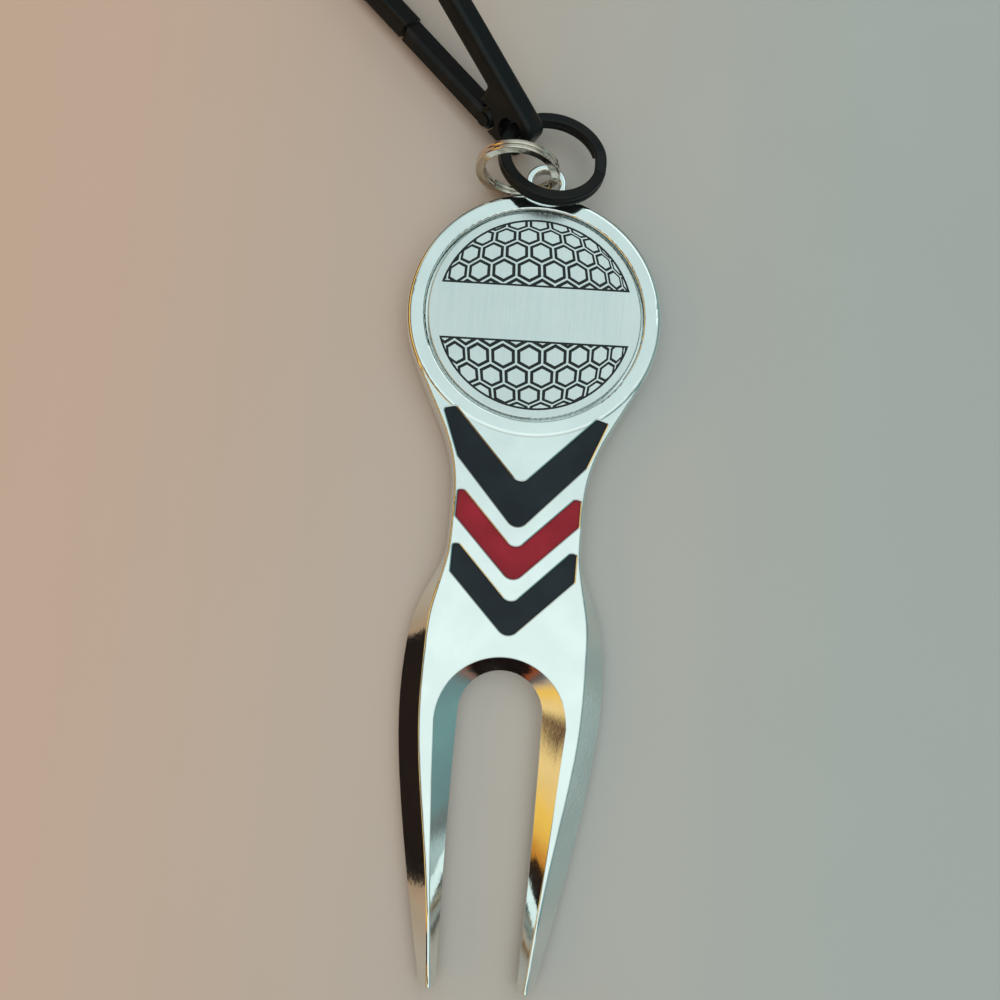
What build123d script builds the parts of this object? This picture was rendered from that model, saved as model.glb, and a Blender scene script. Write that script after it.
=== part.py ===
from build123d import *
import os
from math import cos, hypot, pi, radians, sin, sqrt

os.makedirs("parts", exist_ok=True)

# ---------------------------------------------------------------------------
# Divot repair tool, lying on its back.  Millimetres.
# z = 0 is the flat back, +Z leaves the front face, +Y runs from the prongs to
# the key-ring lug, and x = 0 is the plane of symmetry.  The origin is on the
# back face, under the centre of the ball marker.
# ---------------------------------------------------------------------------

# Casting
HEAD_R = 14.95
RIM_Z = 4.05
FACE_Z = 3.9
BACK_BEVEL = 0.8
RIM_ROUND = 0.7
SIDE_TOP_Z = 1.9
RECESS_R = 12.75
RECESS_Z = 2.4
RECESS_LIP = 0.3
TIP_Y = -75.4
JOIN_Y = -6.8
JOIN_INSET = 0.04

# Half-width of the neck and prongs: (y, widest, at the front face)
SIDE_STATIONS = [
    (-11.0, 11.25, 11.0),
    (-14.0, 9.70, 9.45),
    (-17.0, 8.50, 8.25),
    (-20.5, 7.80, 7.55),
    (-25.0, 7.70, 7.45),
    (-28.5, 7.85, 7.55),
    (-31.5, 8.95, 8.05),
    (-35.0, 10.40, 8.75),
    (-40.0, 11.20, 9.00),
    (-46.0, 11.25, 8.95),
    (-53.0, 10.55, 8.25),
    (-61.0, 9.20, 6.95),
    (-69.0, 7.60, 5.90),
]
TIP_HALF = (6.2, 5.4)

# Gap between the prongs: a U with a wide bevel towards the front face
GAP_R = 4.75
GAP_Y = -46.0
GAP_TIP_HALF = 4.3
GAP_BEVEL_Z = 2.5
GAP_TOP_R = 7.4
GAP_TOP_Y = -47.2
GAP_TOP_MID = (6.4, -61.0)
GAP_TOP_TIP_HALF = 4.75
GAP_OVERRUN = 2.0
PRONG_LIFT_Y = -52.0
PRONG_LIFT = 1.3

# Edge rounding of the casting
FACE_ROUND = 0.35
BACK_ROUND = 0.4
GAP_FACE_ROUND = 0.25
TIP_ROUND = 0.12
LUG_ROUND = 0.3
LUG_OVERLAP = 1.65

# Lug for the split ring
LUG_Y = 16.3
LUG_R = 2.45
LUG_HOLE_R = 1.55
LUG_Z = (2.3, 3.7)

# Magnet and ball marker
MAGNET_R = 4.0
MAGNET_Z = 1.2
MAGNET_FIT = 0.05
MARKER_R = 12.5
MARKER_THICK = 1.6
MARKER_EDGE = 0.2
MARKER_TURN = 2.7
PATTERN_R = 11.5
BAND_HALF = 3.25
RELIEF = 0.25
RELIEF_FILL = 0.17
BORDER = 0.24
CELL_PITCH = 3.12
CELL_WALL = 0.25
CELL_MOAT = 0.40
GRID_TURN = 2.0
GRID_REACH = 6
CELL_START = (0.52, 0.80)
BALL_R = 13.3
BALL_CENTRE = (-1.2, -0.69)
BALL_EDGE = 1.35

# Chevrons: half profile points from the inner apex outwards, then to the tip
CHEVRON_FLOOR_Z = 2.9
CHEVRON_FILL_Z = 3.66
CHEVRON_LIP = 0.18
CHEVRONS = {
    "chevron_enamel_top": [(0, -20.5), (8.2, -11.85), (9.45, -12.2), (7.35, -17.6), (0, -25.7)],
    "chevron_enamel_middle": [(0, -28.0), (6.35, -21.45), (7.0, -21.45), (7.0, -24.5), (0, -31.6)],
    "chevron_enamel_bottom": [(0, -34.2), (6.35, -27.65), (7.0, -27.65), (7.0, -30.8), (0, -37.9)],
}
CHEVRON_APEX_ROUND = 1.3
CHEVRON_END_ROUND = 0.3

# Split rings: outer radius, radial width, thickness of one coil, centre, axis, start of the wire
NICKEL_RING = (5.0, 1.1, 0.58, (-3.55, 16.85, 5.14), (-0.05, -0.97, 0.22), (1, 0, 0))
BLACK_RING = (6.5, 1.35, 0.72, (0.45, 19.0, 4.65), (0.08, 0.29, 0.954), (1, 0.35, 0))
COIL_GAP = 0.04
RAMP_DEG = 32

# Carabiner, drawn flat: X from the eye to the bow, Y towards the spine
HOOK_EYE = (-4.04, 22.78, 3.88)
HOOK_AXIS = (-0.676, 0.737, 0.111)
HOOK_ROLL = 62.0
HOOK_THICK = 3.0
HOOK_EYE_R = 1.7
HOOK_TIP_X = -2.5
HOOK_SPREAD = 8.8
HOOK_BOW_X = 28.0
HOOK_BOW_R = 7.2
HOOK_ROD = 2.6
HOOK_OPEN_X = 5.6
HOOK_EDGE = 0.7
NOSE_X = 18.3
PIVOT = (3.4, -2.15)
PIVOT_R = 1.3
PIVOT_GAP = 0.3
TONGUE = 1.1
TONGUE_ARM = (2.6, 1.6, -1.3, 0.6)
FORK = 1.4
EYE_END_ROUND = 1.4
OPENING_ROUND = 0.4
GATE_END_GAP = 0.25
GATE_ROD = 2.2
RIVET_R = 0.45
RIVET_HEAD_R = 0.8
RIVET_HEAD = 0.25
RIVET_PLAY = 0.03
BORE_R = 0.65
BORE_X = 12.0
SPRING_R = 0.44
SPRING_WIRE = 0.12
SPRING_TURNS = 9
SPRING_X = (6.0, 11.6)
PLUNGER_R = 0.55
PLUNGER_X = (1.4, 5.8)


def mirrored_outline(half, top_y):
    """Closed face from a right-hand edge chain that runs from top_y down to the tip."""
    left = [edge.mirror(Plane.YZ) for edge in half]
    first = half[0] @ 0
    last = half[-1] @ 1
    top = Line((-first.X, first.Y, first.Z), first)
    bottom = Line(last, (-last.X, last.Y, last.Z))
    return make_face([top, *half, bottom, *left])


def side_face(z, inset, column):
    """Outline of the neck and both prongs at height z."""
    start = (sqrt(HEAD_R**2 - JOIN_Y**2) - JOIN_INSET - inset, JOIN_Y, z)
    points = [start]
    for station in SIDE_STATIONS:
        points.append((station[column] - inset, station[0], z))
    points.append((TIP_HALF[column - 1] - inset, TIP_Y, z))
    return mirrored_outline([Spline(points)], JOIN_Y)


def gap_face(z, radius, centre_y, middle, tip_half):
    """U-shaped outline of the gap between the prongs at height z."""
    end_y = TIP_Y - GAP_OVERRUN
    right = Spline((radius, centre_y, z), (middle[0], middle[1], z), (tip_half, end_y, z))
    left = right.mirror(Plane.YZ)
    top = ThreePointArc((-radius, centre_y, z), (0, centre_y + radius, z), (radius, centre_y, z))
    bottom = Line((tip_half, end_y, z), (-tip_half, end_y, z))
    return make_face([top, right, bottom, left])


def head():
    """Round head with its rim, marker recess and magnet pocket, as one turned profile."""
    inner = HEAD_R - RIM_ROUND
    lip = RECESS_R + RECESS_LIP
    diag = RIM_ROUND * (1 - sqrt(0.5))
    lip_diag = RECESS_LIP * (1 - sqrt(0.5))
    chain = [
        Line((0, 0, 0), (inner, 0, 0)),
        ThreePointArc((inner, 0, 0), (HEAD_R - diag, 0, diag), (HEAD_R, 0, RIM_ROUND)),
        Line((HEAD_R, 0, RIM_ROUND), (HEAD_R, 0, RIM_Z - RIM_ROUND)),
        ThreePointArc(
            (HEAD_R, 0, RIM_Z - RIM_ROUND), (HEAD_R - diag, 0, RIM_Z - diag), (inner, 0, RIM_Z)
        ),
        Line((inner, 0, RIM_Z), (lip, 0, RIM_Z)),
        ThreePointArc(
            (lip, 0, RIM_Z),
            (RECESS_R + lip_diag, 0, RIM_Z - lip_diag),
            (RECESS_R, 0, RIM_Z - RECESS_LIP),
        ),
        Line((RECESS_R, 0, RIM_Z - RECESS_LIP), (RECESS_R, 0, RECESS_Z)),
        Line((RECESS_R, 0, RECESS_Z), (MAGNET_R, 0, RECESS_Z)),
        Line((MAGNET_R, 0, RECESS_Z), (MAGNET_R, 0, MAGNET_Z)),
        Line((MAGNET_R, 0, MAGNET_Z), (0, 0, MAGNET_Z)),
        Line((0, 0, MAGNET_Z), (0, 0, 0)),
    ]
    return revolve(make_face(chain), Axis.Z)


def chevron_face(points, z):
    """Arrow-shaped outline with rounded apexes and ends."""
    half = [Vector(x, y, z) for x, y in points]
    left = [Vector(-p.X, p.Y, p.Z) for p in half[1:-1]]
    ring = half + left[::-1]
    radii = [CHEVRON_APEX_ROUND] + [CHEVRON_END_ROUND] * 3 + [CHEVRON_APEX_ROUND]
    radii = radii + [CHEVRON_END_ROUND] * 3
    return make_face(FilletPolyline(*ring, radius=radii, close=True))


def long_edges(solid, z, y_top=JOIN_Y - 1, half=HEAD_R):
    """Edges at height z that run along the neck and prongs, without those of the tips and the joint."""
    found = []
    for edge in solid.edges():
        centre = edge.center()
        if abs(centre.Z - z) < 1e-3 and TIP_Y + 1 < centre.Y < y_top and abs(centre.X) < half:
            found.append(edge)
    return found


def shank():
    """Neck and two prongs, with the edges of the face and the back rounded."""
    sections = [
        side_face(0, BACK_BEVEL, 1),
        side_face(BACK_BEVEL, 0, 1),
        side_face(SIDE_TOP_Z, 0, 1),
        side_face(FACE_Z, 0, 2),
    ]
    solid = loft(sections, ruled=True)
    solid = fillet(long_edges(solid, FACE_Z), FACE_ROUND)
    solid = fillet(long_edges(solid, BACK_BEVEL), BACK_ROUND)

    low = gap_face(GAP_BEVEL_Z, GAP_R, GAP_Y, (GAP_R, (GAP_Y + TIP_Y) / 2), GAP_TIP_HALF)
    high = gap_face(FACE_Z, GAP_TOP_R, GAP_TOP_Y, GAP_TOP_MID, GAP_TOP_TIP_HALF)
    solid -= extrude(low, -GAP_BEVEL_Z - 1)
    solid -= loft([low, high], ruled=True)
    solid -= extrude(high, 1)
    gap_top = GAP_TOP_Y + GAP_TOP_R + 1
    solid = fillet(long_edges(solid, FACE_Z, gap_top, GAP_TOP_R), GAP_FACE_ROUND)

    end = TIP_Y - GAP_OVERRUN
    lift = [(0, PRONG_LIFT_Y, 0), (0, TIP_Y, PRONG_LIFT), (0, end, PRONG_LIFT), (0, end, 0)]
    solid -= extrude(make_face(Polyline(*lift, close=True)), HEAD_R, both=True)
    tip_edges = [e for e in solid.edges() if abs(e.center().Y - TIP_Y) < 0.05]
    return fillet(tip_edges, TIP_ROUND)


def lug():
    """Small eye at the top of the head for the nickel ring."""
    root = LUG_Y - HEAD_R + LUG_OVERLAP
    plan = Pos(0, LUG_Y) * Circle(LUG_R) + Pos(0, LUG_Y - root / 2) * Rectangle(2 * LUG_R, root)
    plan -= Pos(0, LUG_Y) * Circle(LUG_HOLE_R)
    solid = Pos(0, 0, LUG_Z[0]) * extrude(plan, LUG_Z[1] - LUG_Z[0])
    rims = [e for e in solid.edges() if e.center().Z in LUG_Z or e.geom_type == GeomType.CIRCLE]
    return fillet(rims, LUG_ROUND)


def pocket(points):
    """Cutter for one chevron: upright walls with a narrow bevelled lip at the face."""
    lip_z = FACE_Z - CHEVRON_LIP
    walls = extrude(chevron_face(points, CHEVRON_FLOOR_Z), lip_z - CHEVRON_FLOOR_Z)
    foot = chevron_face(points, lip_z)
    middle = Pos(0, 0, CHEVRON_LIP * 0.6) * offset(foot, CHEVRON_LIP * 0.3)
    mouth = Pos(0, 0, CHEVRON_LIP) * offset(foot, CHEVRON_LIP)
    return walls + loft([foot, middle, mouth], ruled=True) + extrude(mouth, 1)


def tool_body():
    clearing = Cylinder(RECESS_R, RIM_Z, align=(Align.CENTER, Align.CENTER, Align.MIN))
    body = head() + (shank() - Pos(0, 0, RECESS_Z) * clearing) + lug()
    for points in CHEVRONS.values():
        body -= pocket(points)
    return body


def enamel(points):
    """Hard enamel that fills a chevron pocket to just under the face."""
    return extrude(chevron_face(points, CHEVRON_FLOOR_Z), CHEVRON_FILL_Z - CHEVRON_FLOOR_Z)


def magnet():
    disc = Cylinder(MAGNET_R - MAGNET_FIT, RECESS_Z - MAGNET_Z - MAGNET_FIT)
    return Pos(0, 0, (RECESS_Z + MAGNET_Z - MAGNET_FIT) / 2) * disc


def on_ball(x, y):
    """Place of a point of the flat hexagon grid, wrapped on the ball and seen from above."""
    arc = hypot(x, y)
    scale = BALL_R * sin(min(arc / BALL_R, pi / 2)) / arc if arc else 1.0
    flat = Vector(BALL_CENTRE[0] + x * scale, BALL_CENTRE[1] + y * scale)
    turned = flat.rotate(Axis.Z, GRID_TURN)
    return (turned.X, turned.Y)


def cell(x, y, flat_radius):
    """Hexagon of the relief with its point up, wrapped on the ball."""
    corner = flat_radius / cos(pi / 6)
    points = []
    for k in range(6):
        angle = pi / 6 + k * pi / 3
        points.append(on_ball(x + corner * cos(angle), y + corner * sin(angle)))
    return make_face(Polyline(*points, close=True))


def relief_plan(side):
    """The sunk part of one half of the relief: a border line and one moat in each cell."""
    half_plane = Pos(0, side * (BAND_HALF + PATTERN_R)) * Rectangle(3 * PATTERN_R, 2 * PATTERN_R)
    zone = Circle(PATTERN_R) & half_plane
    inner = Circle(PATTERN_R - BORDER) & Pos(0, side * BORDER) * half_plane
    row_pitch = CELL_PITCH * cos(pi / 6)
    outer_flat = (CELL_PITCH - CELL_WALL) / 2
    moats = []
    for row in range(-GRID_REACH, GRID_REACH + 1):
        y = CELL_START[1] + row * row_pitch
        shift = CELL_PITCH / 2 * (row % 2)
        for column in range(-GRID_REACH, GRID_REACH + 1):
            x = CELL_START[0] + shift + column * CELL_PITCH
            centre = on_ball(x, y)
            outside = hypot(centre[0], centre[1]) > PATTERN_R + CELL_PITCH / 3
            on_band = side * centre[1] < BAND_HALF - CELL_PITCH / 2
            if outside or on_band or hypot(x, y) > BALL_R * BALL_EDGE:
                continue
            moats.append(cell(x, y, outer_flat) - cell(x, y, outer_flat - CELL_MOAT))
    sunk = zone - inner
    for moat in moats:
        sunk += moat & inner
    return sunk


def marker():
    """The coin and the two groups of black fill, all turned by the same angle."""
    top = RECESS_Z + MARKER_THICK
    coin = Pos(0, 0, RECESS_Z + MARKER_THICK / 2) * Cylinder(MARKER_R, MARKER_THICK)
    coin = fillet(coin.edges().filter_by(GeomType.CIRCLE), MARKER_EDGE)
    fills = []
    for side in (1, -1):
        plan = relief_plan(side)
        coin -= Pos(0, 0, top - RELIEF) * extrude(plan, 2 * RELIEF)
        fills.append(Rot(0, 0, MARKER_TURN) * Pos(0, 0, top - RELIEF) * extrude(plan, RELIEF_FILL))
    return Rot(0, 0, MARKER_TURN) * coin, fills


def split_ring(outer, width, thick, centre, axis, start):
    """Two flat turns of wire joined by a short ramp."""
    middle = outer - width / 2
    rise = thick + COIL_GAP
    section = Plane.XZ * Pos(middle, -rise / 2) * RectangleRounded(width, thick, thick * 0.3)
    turn = 360 - RAMP_DEG
    lower = revolve(section, Axis.Z, turn)
    upper = Pos(0, 0, rise) * lower
    steps = []
    for k in range(4):
        share = k / 3
        lift = rise * share * share * (3 - 2 * share)
        steps.append(Rot(0, 0, turn + RAMP_DEG * share) * Pos(0, 0, lift) * section)
    ring = lower + loft(steps) + upper
    return Plane(origin=centre, x_dir=start, z_dir=axis) * ring


def hook_plane():
    """Plane of the carabiner: rolled about its long axis so that the eye faces the ring."""
    along = Vector(*HOOK_AXIS).normalized()
    level = along.cross(Vector(0, 0, 1)).normalized()
    up = level.cross(along)
    roll = radians(HOOK_ROLL)
    side = level * cos(roll) + up * sin(roll)
    return Plane(origin=HOOK_EYE, x_dir=along, z_dir=along.cross(side))


def hook_half(x, shrink=0.0):
    """Half-width of the carabiner's tangent sides at x, pulled in by shrink."""
    spread = radians(HOOK_SPREAD)
    return (HOOK_BOW_R - shrink - (HOOK_BOW_X - x) * sin(spread)) / cos(spread)


def hook_loop(shrink, start_x):
    """Teardrop outline, pulled in by shrink, from start_x to the bow."""
    half = hook_half(start_x, shrink)
    bow = HOOK_BOW_R - shrink
    touch_x = HOOK_BOW_X - bow * sin(radians(HOOK_SPREAD))
    touch_y = bow * cos(radians(HOOK_SPREAD))
    chain = [
        Line((start_x, -half), (start_x, half)),
        Line((start_x, half), (touch_x, touch_y)),
        ThreePointArc((touch_x, touch_y), (HOOK_BOW_X + bow, 0), (touch_x, -touch_y)),
        Line((touch_x, -touch_y), (start_x, -half)),
    ]
    return make_face(chain)


def gate_strip(x_start, x_end, width):
    """Straight strip along the gate side, its outer edge on the outline of the frame."""
    return make_face(
        Polyline(
            (x_start, -hook_half(x_start)),
            (x_end, -hook_half(x_end)),
            (x_end, -hook_half(x_end) + width),
            (x_start, -hook_half(x_start) + width),
            close=True,
        )
    )


def carabiner():
    """Frame, gate, rivet, spring and plunger in the flat drawing position."""
    outline = hook_loop(0, HOOK_TIP_X)
    outline = fillet(outline.vertices().sort_by(Axis.X)[:2], EYE_END_ROUND)
    opening = hook_loop(HOOK_ROD, HOOK_OPEN_X)
    opening = fillet(opening.vertices().sort_by(Axis.X)[:2], OPENING_ROUND)
    frame = extrude(outline - opening, HOOK_THICK / 2, both=True)
    frame = fillet(frame.faces().filter_by(Axis.Z).edges(), HOOK_EDGE)
    frame -= extrude(gate_strip(PIVOT[0], NOSE_X, HOOK_ROD + 2 * PIVOT_GAP), HOOK_THICK, both=True)
    frame -= Cylinder(HOOK_EYE_R, 2 * HOOK_THICK)
    pivot_place = Pos(PIVOT[0], PIVOT[1])
    frame -= pivot_place * Cylinder(PIVOT_R + PIVOT_GAP, 2 * HOOK_THICK)
    arm_x, arm_y, arm_at_x, arm_at_y = TONGUE_ARM
    tongue = Circle(PIVOT_R - 0.1) + Pos(arm_at_x, arm_at_y) * Rectangle(arm_x, arm_y)
    frame += extrude(pivot_place * tongue, TONGUE / 2, both=True)
    frame -= pivot_place * Cylinder(RIVET_R + RIVET_PLAY, 2 * HOOK_THICK)

    spread = radians(HOOK_SPREAD)
    gate_plane = Plane(origin=(PIVOT[0], PIVOT[1], 0), x_dir=(cos(spread), -sin(spread), 0))
    length = (NOSE_X - PIVOT[0]) / cos(spread) - GATE_END_GAP
    gate = Cylinder(PIVOT_R, HOOK_THICK)
    gate += Pos(length / 2, -PIVOT_R + GATE_ROD / 2) * Box(length, GATE_ROD, HOOK_THICK)
    gate = chamfer(gate.faces().filter_by(Axis.Z).edges(), HOOK_EDGE * 0.6)
    gate -= Cylinder(PIVOT_R + PIVOT_GAP, FORK)
    gate -= Cylinder(RIVET_R + RIVET_PLAY, 2 * HOOK_THICK)
    bore_y = -PIVOT_R + GATE_ROD / 2
    gate -= Pos(BORE_X / 2, bore_y) * Rot(0, 90, 0) * Cylinder(BORE_R, BORE_X)
    gate = gate_plane * gate

    pin = Cylinder(RIVET_R, HOOK_THICK + 4 * RIVET_PLAY)
    rivet_head = Cylinder(RIVET_HEAD_R, RIVET_HEAD)
    shift = HOOK_THICK / 2 + RIVET_HEAD / 2 + RIVET_PLAY
    rivet = pin + Pos(0, 0, shift) * rivet_head + Pos(0, 0, -shift) * rivet_head
    rivet = gate_plane * rivet

    plunger_length = PLUNGER_X[1] - PLUNGER_X[0]
    plunger_middle = (PLUNGER_X[0] + PLUNGER_X[1]) / 2
    plunger = Pos(plunger_middle, bore_y) * Rot(0, 90, 0) * Cylinder(PLUNGER_R, plunger_length)
    plunger = gate_plane * plunger
    spring_length = SPRING_X[1] - SPRING_X[0]
    path = Helix(spring_length / SPRING_TURNS, spring_length, SPRING_R)
    wire = Plane(origin=path @ 0, z_dir=path % 0) * Circle(SPRING_WIRE)
    spring = sweep(wire, path=path)
    spring = gate_plane * Pos(SPRING_X[0], bore_y) * Rot(0, 90, 0) * spring
    return {
        "carabiner_frame": frame,
        "carabiner_gate": gate,
        "gate_rivet": rivet,
        "gate_plunger": plunger,
        "gate_spring": spring,
    }


nodes = {"tool_body": tool_body(), "marker_magnet": magnet()}
nodes["ball_marker"], fills = marker()
nodes["marker_enamel_upper"], nodes["marker_enamel_lower"] = fills
for name, points in CHEVRONS.items():
    nodes[name] = enamel(points)
nodes["nickel_split_ring"] = split_ring(*NICKEL_RING)
nodes["black_split_ring"] = split_ring(*BLACK_RING)
for name, shape in carabiner().items():
    nodes[name] = hook_plane() * shape

hook = hook_plane()
print("hook pivot axis", hook.z_dir, "gate pivot", hook.from_local_coords(Vector(*PIVOT)))

for name, shape in nodes.items():
    export_step(Compound(label=name, children=shape.solids()), f"parts/{name}.step")
    box = shape.bounding_box()
    print(name, len(shape.solids()), round(shape.volume, 1), "z", round(box.min.Z, 2), round(box.max.Z, 2))
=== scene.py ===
from math import radians

import bpy
from mathutils import Matrix, Vector


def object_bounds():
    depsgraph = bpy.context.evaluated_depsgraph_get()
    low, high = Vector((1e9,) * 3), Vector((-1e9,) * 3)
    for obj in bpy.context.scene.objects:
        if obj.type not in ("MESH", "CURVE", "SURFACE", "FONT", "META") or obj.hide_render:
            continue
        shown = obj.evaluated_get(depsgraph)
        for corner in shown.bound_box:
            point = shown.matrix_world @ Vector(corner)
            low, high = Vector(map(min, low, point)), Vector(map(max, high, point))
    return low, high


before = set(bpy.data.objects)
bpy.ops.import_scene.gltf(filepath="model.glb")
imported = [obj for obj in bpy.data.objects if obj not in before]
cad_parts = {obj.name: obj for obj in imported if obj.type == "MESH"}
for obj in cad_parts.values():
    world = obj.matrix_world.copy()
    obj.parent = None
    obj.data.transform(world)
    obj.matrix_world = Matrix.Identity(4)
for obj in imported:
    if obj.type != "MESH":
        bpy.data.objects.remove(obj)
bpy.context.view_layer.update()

MM = 0.001

# ---------------------------------------------------------------------------
# Camera: above the prongs, looking down and a little towards the head
# ---------------------------------------------------------------------------
CAMERA_PLACE = Vector((-8.49, -45.62, 143.6)) * MM
CAMERA_PITCH = radians(-9.5)
CAMERA_YAW = radians(2.56)
CAMERA_ROLL = radians(-5.52)
CAMERA_LENS = 45.0

FLOOR_HALF = 2.0
# Reach of the painted shade cast by the enamel pocket walls
ENAMEL_SHADE_REACH = 0.5 * MM

# ---------------------------------------------------------------------------
# Room colours seen in the plating: (sine of the height above the horizon, colour)
# ---------------------------------------------------------------------------
LEFT_ROOM = [
    (0.00, (0.012, 0.009, 0.008)), (0.20, (0.020, 0.012, 0.009)), (0.25, (0.60, 0.24, 0.035)),
    (0.40, (0.95, 0.56, 0.10)), (0.56, (0.90, 0.62, 0.25)), (0.66, (0.10, 0.05, 0.03)),
    (0.76, (0.25, 0.25, 0.23)), (1.00, (0.66, 0.79, 0.77)),
]
RIGHT_ROOM = [
    (0.00, (0.34, 0.42, 0.40)), (0.15, (0.40, 0.52, 0.50)), (0.24, (0.15, 0.18, 0.17)),
    (0.34, (0.15, 0.25, 0.25)), (0.55, (0.17, 0.31, 0.30)), (0.66, (0.30, 0.36, 0.35)),
    (0.80, (0.60, 0.70, 0.68)), (1.00, (0.74, 0.86, 0.83)),
]
FRONT_ROOM = [
    (0.00, (0.008, 0.005, 0.005)), (0.17, (0.010, 0.006, 0.005)), (0.22, (0.28, 0.07, 0.025)),
    (0.27, (0.12, 0.10, 0.09)), (0.36, (0.36, 0.37, 0.35)), (0.58, (0.52, 0.58, 0.56)),
    (0.80, (0.72, 0.82, 0.79)), (1.00, (0.82, 0.88, 0.84)),
]
BACK_ROOM = [
    (0.00, (0.16, 0.16, 0.15)), (0.20, (0.06, 0.055, 0.05)), (0.35, (0.30, 0.30, 0.28)),
    (0.60, (0.50, 0.60, 0.58)), (0.85, (0.60, 0.75, 0.74)), (1.00, (0.66, 0.80, 0.79)),
]
CEILING_FRONT = (0.86, 0.99, 0.96, 1)
CEILING_BACK = (0.64, 0.78, 0.775, 1)
BACKDROP = (0.42, 0.42, 0.40, 1)
FILL_GAIN = 0.6


def add_camera():
    data = bpy.data.cameras.new("camera")
    data.lens = CAMERA_LENS
    data.sensor_width = 36.0
    data.clip_start = 0.005
    data.clip_end = 10.0
    camera = bpy.data.objects.new("camera", data)
    bpy.context.scene.collection.objects.link(camera)
    turn = Matrix.Rotation(CAMERA_ROLL, 3, "Z")
    turn = turn @ Matrix.Rotation(CAMERA_YAW, 3, "Y")
    turn = turn @ Matrix.Rotation(CAMERA_PITCH, 3, "X")
    camera.matrix_world = Matrix.Translation(CAMERA_PLACE) @ turn.transposed().to_4x4()
    bpy.context.scene.camera = camera


# ---------------------------------------------------------------------------
# Node helpers
# ---------------------------------------------------------------------------
class Graph:
    """A small wrapper that adds nodes and links them by socket name."""

    def __init__(self, tree):
        self.tree = tree
        self.tree.nodes.clear()

    def add(self, kind, inputs=None, **settings):
        node = self.tree.nodes.new(kind)
        for name, value in settings.items():
            setattr(node, name, value)
        for name, value in (inputs or {}).items():
            self.set(node, name, value)
        return node

    def set(self, node, name, value):
        socket = node.inputs[name]
        if isinstance(value, bpy.types.NodeSocket):
            self.tree.links.new(value, socket)
        elif isinstance(value, bpy.types.Node):
            self.tree.links.new(value.outputs[0], socket)
        else:
            socket.default_value = value

    def math(self, operation, a, b=0.0, clamp=False):
        return self.add("ShaderNodeMath", {0: a, 1: b}, operation=operation, use_clamp=clamp)

    def span(self, value, low, high, out_low=0.0, out_high=1.0):
        """Smoothly remaps value from low..high to out_low..out_high."""
        inputs = {"Value": value, "From Min": low, "From Max": high, "To Min": out_low, "To Max": out_high}
        return self.add("ShaderNodeMapRange", inputs, interpolation_type="SMOOTHSTEP")

    def mix(self, factor, a, b):
        node = self.add("ShaderNodeMix", data_type="RGBA")
        for index, value in ((0, factor), (6, a), (7, b)):
            self.set(node, index, value)
        return node.outputs[2]

    def ramp(self, value, stops):
        node = self.add("ShaderNodeValToRGB", {"Fac": value})
        node.color_ramp.interpolation = "EASE"
        points = node.color_ramp.elements
        while len(points) < len(stops):
            points.new(0.5)
        for point, (place, colour) in zip(points, stops):
            point.position = place
            point.color = (*colour, 1.0)
        return node.outputs[0]

    def noise(self, vector, scale, detail=2.0, roughness=0.5):
        inputs = {"Vector": vector, "Scale": scale, "Detail": detail, "Roughness": roughness}
        return self.add("ShaderNodeTexNoise", inputs).outputs[0]

    def bump(self, height, strength, distance, normal=None):
        inputs = {"Height": height, "Strength": strength, "Distance": distance}
        if normal is not None:
            inputs["Normal"] = normal
        return self.add("ShaderNodeBump", inputs).outputs[0]


def new_material(name):
    """A material with a Principled shader; returns it with its graph, shader and object coordinates."""
    material = bpy.data.materials.new(name)
    material.use_nodes = True
    graph = Graph(material.node_tree)
    shader = graph.add("ShaderNodeBsdfPrincipled")
    output = graph.add("ShaderNodeOutputMaterial")
    graph.set(output, "Surface", shader.outputs[0])
    place = graph.add("ShaderNodeTexCoord").outputs["Object"]
    return material, graph, shader, place


def scaled(graph, place, x, y, z):
    return graph.add("ShaderNodeMapping", {"Vector": place, "Scale": (x, y, z)}).outputs[0]


# ---------------------------------------------------------------------------
# Materials
# ---------------------------------------------------------------------------
def plated_metal(name, colour, dull, roughness, wave, grain):
    """Polished plating: faint cloudiness, a slow waviness from casting and a very fine grain."""
    material, graph, shader, place = new_material(name)
    shader.inputs["Metallic"].default_value = 1.0
    cloud = graph.noise(place, 220.0, 3.0)
    speck = graph.noise(place, 2600.0, 2.0, 0.6)
    tone = graph.span(cloud, 0.35, 0.7)
    graph.set(shader, "Base Color", graph.mix(tone, (*dull, 1), (*colour, 1)))
    rough = graph.span(speck, 0.3, 0.8, roughness * 0.8, roughness * 1.5)
    graph.set(shader, "Roughness", rough)
    slow = graph.noise(place, 90.0, 1.0)
    normal = graph.bump(slow, wave, 0.0006)
    normal = graph.bump(speck, grain, 0.00002, normal)
    graph.set(shader, "Normal", normal)
    return material


def satin_nickel():
    """The coin: satin plate with a faint upright grain."""
    material, graph, shader, place = new_material("satin_nickel")
    shader.inputs["Metallic"].default_value = 1.0
    streak = graph.noise(scaled(graph, place, 3800.0, 160.0, 400.0), 1.0, 3.0, 0.6)
    cloud = graph.noise(place, 160.0, 3.0)
    tone = graph.math("MULTIPLY", streak, 0.5)
    tone = graph.math("ADD", tone, graph.math("MULTIPLY", cloud, 0.5))
    graph.set(shader, "Base Color", graph.mix(tone, (0.62, 0.68, 0.68, 1), (0.86, 0.90, 0.89, 1)))
    graph.set(shader, "Roughness", graph.span(streak, 0.3, 0.75, 0.24, 0.38))
    graph.set(shader, "Normal", graph.bump(streak, 0.25, 0.00003))
    return material


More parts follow.
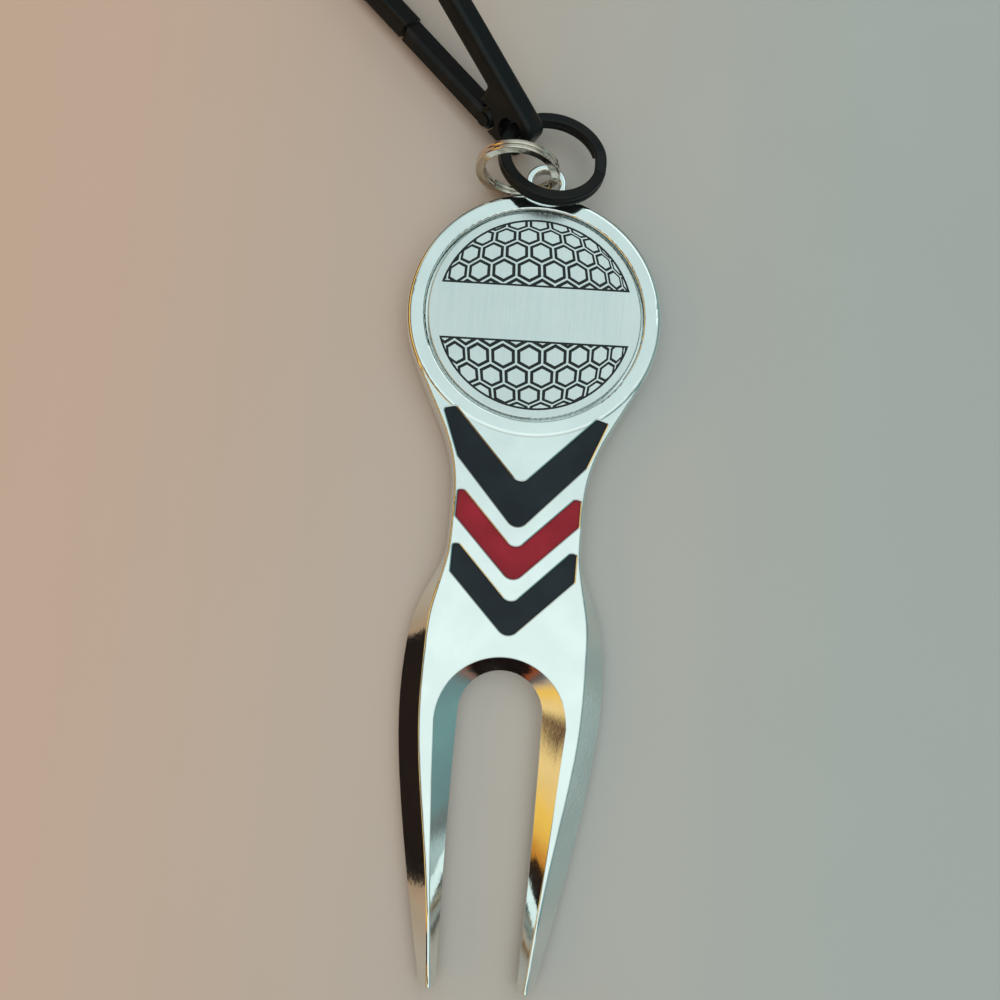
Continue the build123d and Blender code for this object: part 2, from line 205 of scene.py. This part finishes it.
def enamel(name, colour, deep):
    """Hard glossy enamel with a clear coat, slightly uneven in depth, with painted shade darkening it near
    the pocket walls.
    """
    material, graph, shader, place = new_material(name)
    cloud = graph.noise(place, 180.0, 3.0)
    dust = graph.noise(place, 5200.0, 1.0, 0.5)
    tone = graph.mix(graph.span(cloud, 0.3, 0.75), (*deep, 1), (*colour, 1))
    # Painted shade: ambient occlusion darkens the enamel colour towards the pocket walls, where shade falls
    unshaded_amount = graph.add("ShaderNodeAmbientOcclusion", {"Distance": ENAMEL_SHADE_REACH}).outputs["AO"]
    painted_edge_shade = tuple(channel * 0.25 for channel in deep)
    graph.set(shader, "Base Color", graph.mix(graph.span(unshaded_amount, 0.45, 0.95), (*painted_edge_shade, 1), tone))
    graph.set(shader, "Roughness", graph.span(dust, 0.45, 0.8, 0.16, 0.30))
    graph.set(shader, "Normal", graph.bump(graph.noise(place, 260.0, 1.0), 0.25, 0.0003))
    shader.inputs["Specular IOR Level"].default_value = 0.16
    shader.inputs["Coat Weight"].default_value = 0.10
    shader.inputs["Coat Roughness"].default_value = 0.05
    return material


def black_fill():
    """Matt-gloss black wiped into the sunk relief, with a grainy surface."""
    material, graph, shader, place = new_material("black_fill")
    grain = graph.noise(place, 4200.0, 3.0, 0.65)
    graph.set(shader, "Base Color", graph.mix(grain, (0.004, 0.006, 0.007, 1), (0.030, 0.040, 0.042, 1)))
    graph.set(shader, "Roughness", graph.span(grain, 0.3, 0.7, 0.35, 0.6))
    graph.set(shader, "Normal", graph.bump(grain, 0.5, 0.00004))
    shader.inputs["Specular IOR Level"].default_value = 0.2
    return material


def black_coat(name, colour, worn, roughness):
    """Satin black coat on wire or rod, browner and smoother where it is rubbed."""
    material, graph, shader, place = new_material(name)
    rub = graph.noise(place, 300.0, 4.0, 0.6)
    grain = graph.noise(place, 6000.0, 2.0, 0.6)
    graph.set(shader, "Base Color", graph.mix(graph.span(rub, 0.45, 0.75), (*colour, 1), (*worn, 1)))
    graph.set(shader, "Roughness", graph.span(rub, 0.35, 0.7, roughness, roughness * 0.7))
    graph.set(shader, "Normal", graph.bump(grain, 0.35, 0.00003))
    shader.inputs["Specular IOR Level"].default_value = 0.22
    return material


def floor_material():
    """Pale, slightly glossy table top, with painted warm light on the left and painted cool light on the
    right.
    """
    material, graph, shader, place = new_material("pale_table")
    cloud = graph.noise(place, 9.0, 3.0)
    x = graph.add("ShaderNodeSeparateXYZ", {0: place}).outputs[0]
    # Painted light: the floor colour shifts from a warm-lit tint on the left to a cool-lit tint on the
    # right
    floor_in_painted_warm_light = graph.mix(cloud, (0.60, 0.385, 0.300, 1), (0.64, 0.415, 0.330, 1))
    floor_in_painted_cool_light = graph.mix(cloud, (0.38, 0.395, 0.395, 1), (0.42, 0.435, 0.435, 1))
    graph.set(shader, "Base Color", graph.mix(graph.span(x, -0.07, 0.05), floor_in_painted_warm_light, floor_in_painted_cool_light))
    graph.set(shader, "Roughness", graph.span(graph.noise(place, 60.0, 2.0), 0.3, 0.7, 0.33, 0.42))
    return material


def dress():
    chrome = plated_metal("chrome_plate", (0.90, 0.95, 0.94), (0.84, 0.89, 0.88), 0.07, 0.10, 0.2)
    wire = plated_metal("nickel_wire", (0.88, 0.80, 0.71), (0.66, 0.58, 0.50), 0.12, 0.10, 0.3)
    steel = plated_metal("small_steel", (0.30, 0.30, 0.31), (0.20, 0.20, 0.21), 0.28, 0.1, 0.4)
    black = enamel("black_enamel", (0.014, 0.021, 0.030), (0.008, 0.012, 0.018))
    red = enamel("red_enamel", (0.36, 0.012, 0.028), (0.25, 0.006, 0.016))
    fill = black_fill()
    ring = black_coat("black_wire", (0.007, 0.008, 0.009), (0.014, 0.012, 0.011), 0.42)
    hook = black_coat("black_hook", (0.005, 0.007, 0.008), (0.016, 0.011, 0.009), 0.36)
    looks = {
        "tool_body": chrome,
        "marker_magnet": steel,
        "ball_marker": satin_nickel(),
        "marker_enamel_upper": fill,
        "marker_enamel_lower": fill,
        "chevron_enamel_top": black,
        "chevron_enamel_middle": red,
        "chevron_enamel_bottom": black,
        "nickel_split_ring": wire,
        "black_split_ring": ring,
        "carabiner_frame": hook,
        "carabiner_gate": hook,
        "gate_rivet": hook,
        "gate_plunger": steel,
        "gate_spring": steel,
    }
    for name, material in looks.items():
        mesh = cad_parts[name].data
        mesh.materials.clear()
        mesh.materials.append(material)


# ---------------------------------------------------------------------------
# Stage
# ---------------------------------------------------------------------------
def add_floor():
    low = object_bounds()[0]
    mesh = bpy.data.meshes.new("floor")
    h = FLOOR_HALF
    z = low[2]
    mesh.from_pydata([(-h, -h, z), (h, -h, z), (h, h, z), (-h, h, z)], [], [(0, 1, 2, 3)])
    mesh.materials.append(floor_material())
    floor = bpy.data.objects.new("floor", mesh)
    bpy.context.scene.collection.objects.link(floor)


def area_light(name, place, target, size, power, colour):
    data = bpy.data.lights.new(name, "AREA")
    data.shape = "RECTANGLE"
    data.size, data.size_y = size
    data.energy = power
    data.color = colour
    light = bpy.data.objects.new(name, data)
    bpy.context.scene.collection.objects.link(light)
    aim = Vector(target) - Vector(place)
    light.location = place
    light.rotation_euler = aim.to_track_quat("-Z", "Y").to_euler()


def studio_world():
    """Soft room light: pale above, a warm strip low on the left, grey-green on the right, dark in front."""
    world = bpy.data.worlds.new("studio")
    bpy.context.scene.world = world
    world.use_nodes = True
    graph = Graph(world.node_tree)
    ray = graph.add("ShaderNodeTexCoord").outputs["Generated"]
    axes = graph.add("ShaderNodeSeparateXYZ", {0: ray})
    x, y, height = axes.outputs
    left = graph.ramp(height, LEFT_ROOM)
    right = graph.ramp(height, RIGHT_ROOM)
    front = graph.ramp(height, FRONT_ROOM)
    back = graph.ramp(height, BACK_ROOM)
    sides = graph.mix(graph.span(x, -0.3, 0.3), left, right)
    ends = graph.mix(graph.span(y, -0.25, 0.25), front, back)
    across = graph.math("ABSOLUTE", x)
    along = graph.math("ABSOLUTE", y)
    share = graph.span(graph.math("SUBTRACT", along, across), -0.25, 0.25)
    walls = graph.mix(share, sides, ends)
    ceiling = graph.mix(graph.span(y, 0.04, 0.30), CEILING_FRONT, CEILING_BACK)
    room = graph.mix(graph.span(height, 0.78, 0.93), walls, ceiling)
    rays = graph.add("ShaderNodeLightPath")
    room = graph.mix(rays.outputs["Is Camera Ray"], room, BACKDROP)
    strength = graph.math("MULTIPLY_ADD", rays.outputs["Is Diffuse Ray"], FILL_GAIN)
    strength.inputs[2].default_value = 1.0
    light = graph.add("ShaderNodeBackground", {"Color": room, "Strength": strength})
    output = graph.add("ShaderNodeOutputWorld")
    graph.set(output, "Surface", light.outputs[0])


def light_stage():
    studio_world()
    area_light("softbox", (0.25, 0.45, 0.70), (0, -0.03, 0), (0.35, 0.25), 0.16, (0.95, 1.0, 0.99))
    scene = bpy.context.scene
    scene.view_settings.view_transform = "Standard"
    scene.view_settings.look = "None"


add_camera()
dress()
add_floor()
light_stage()
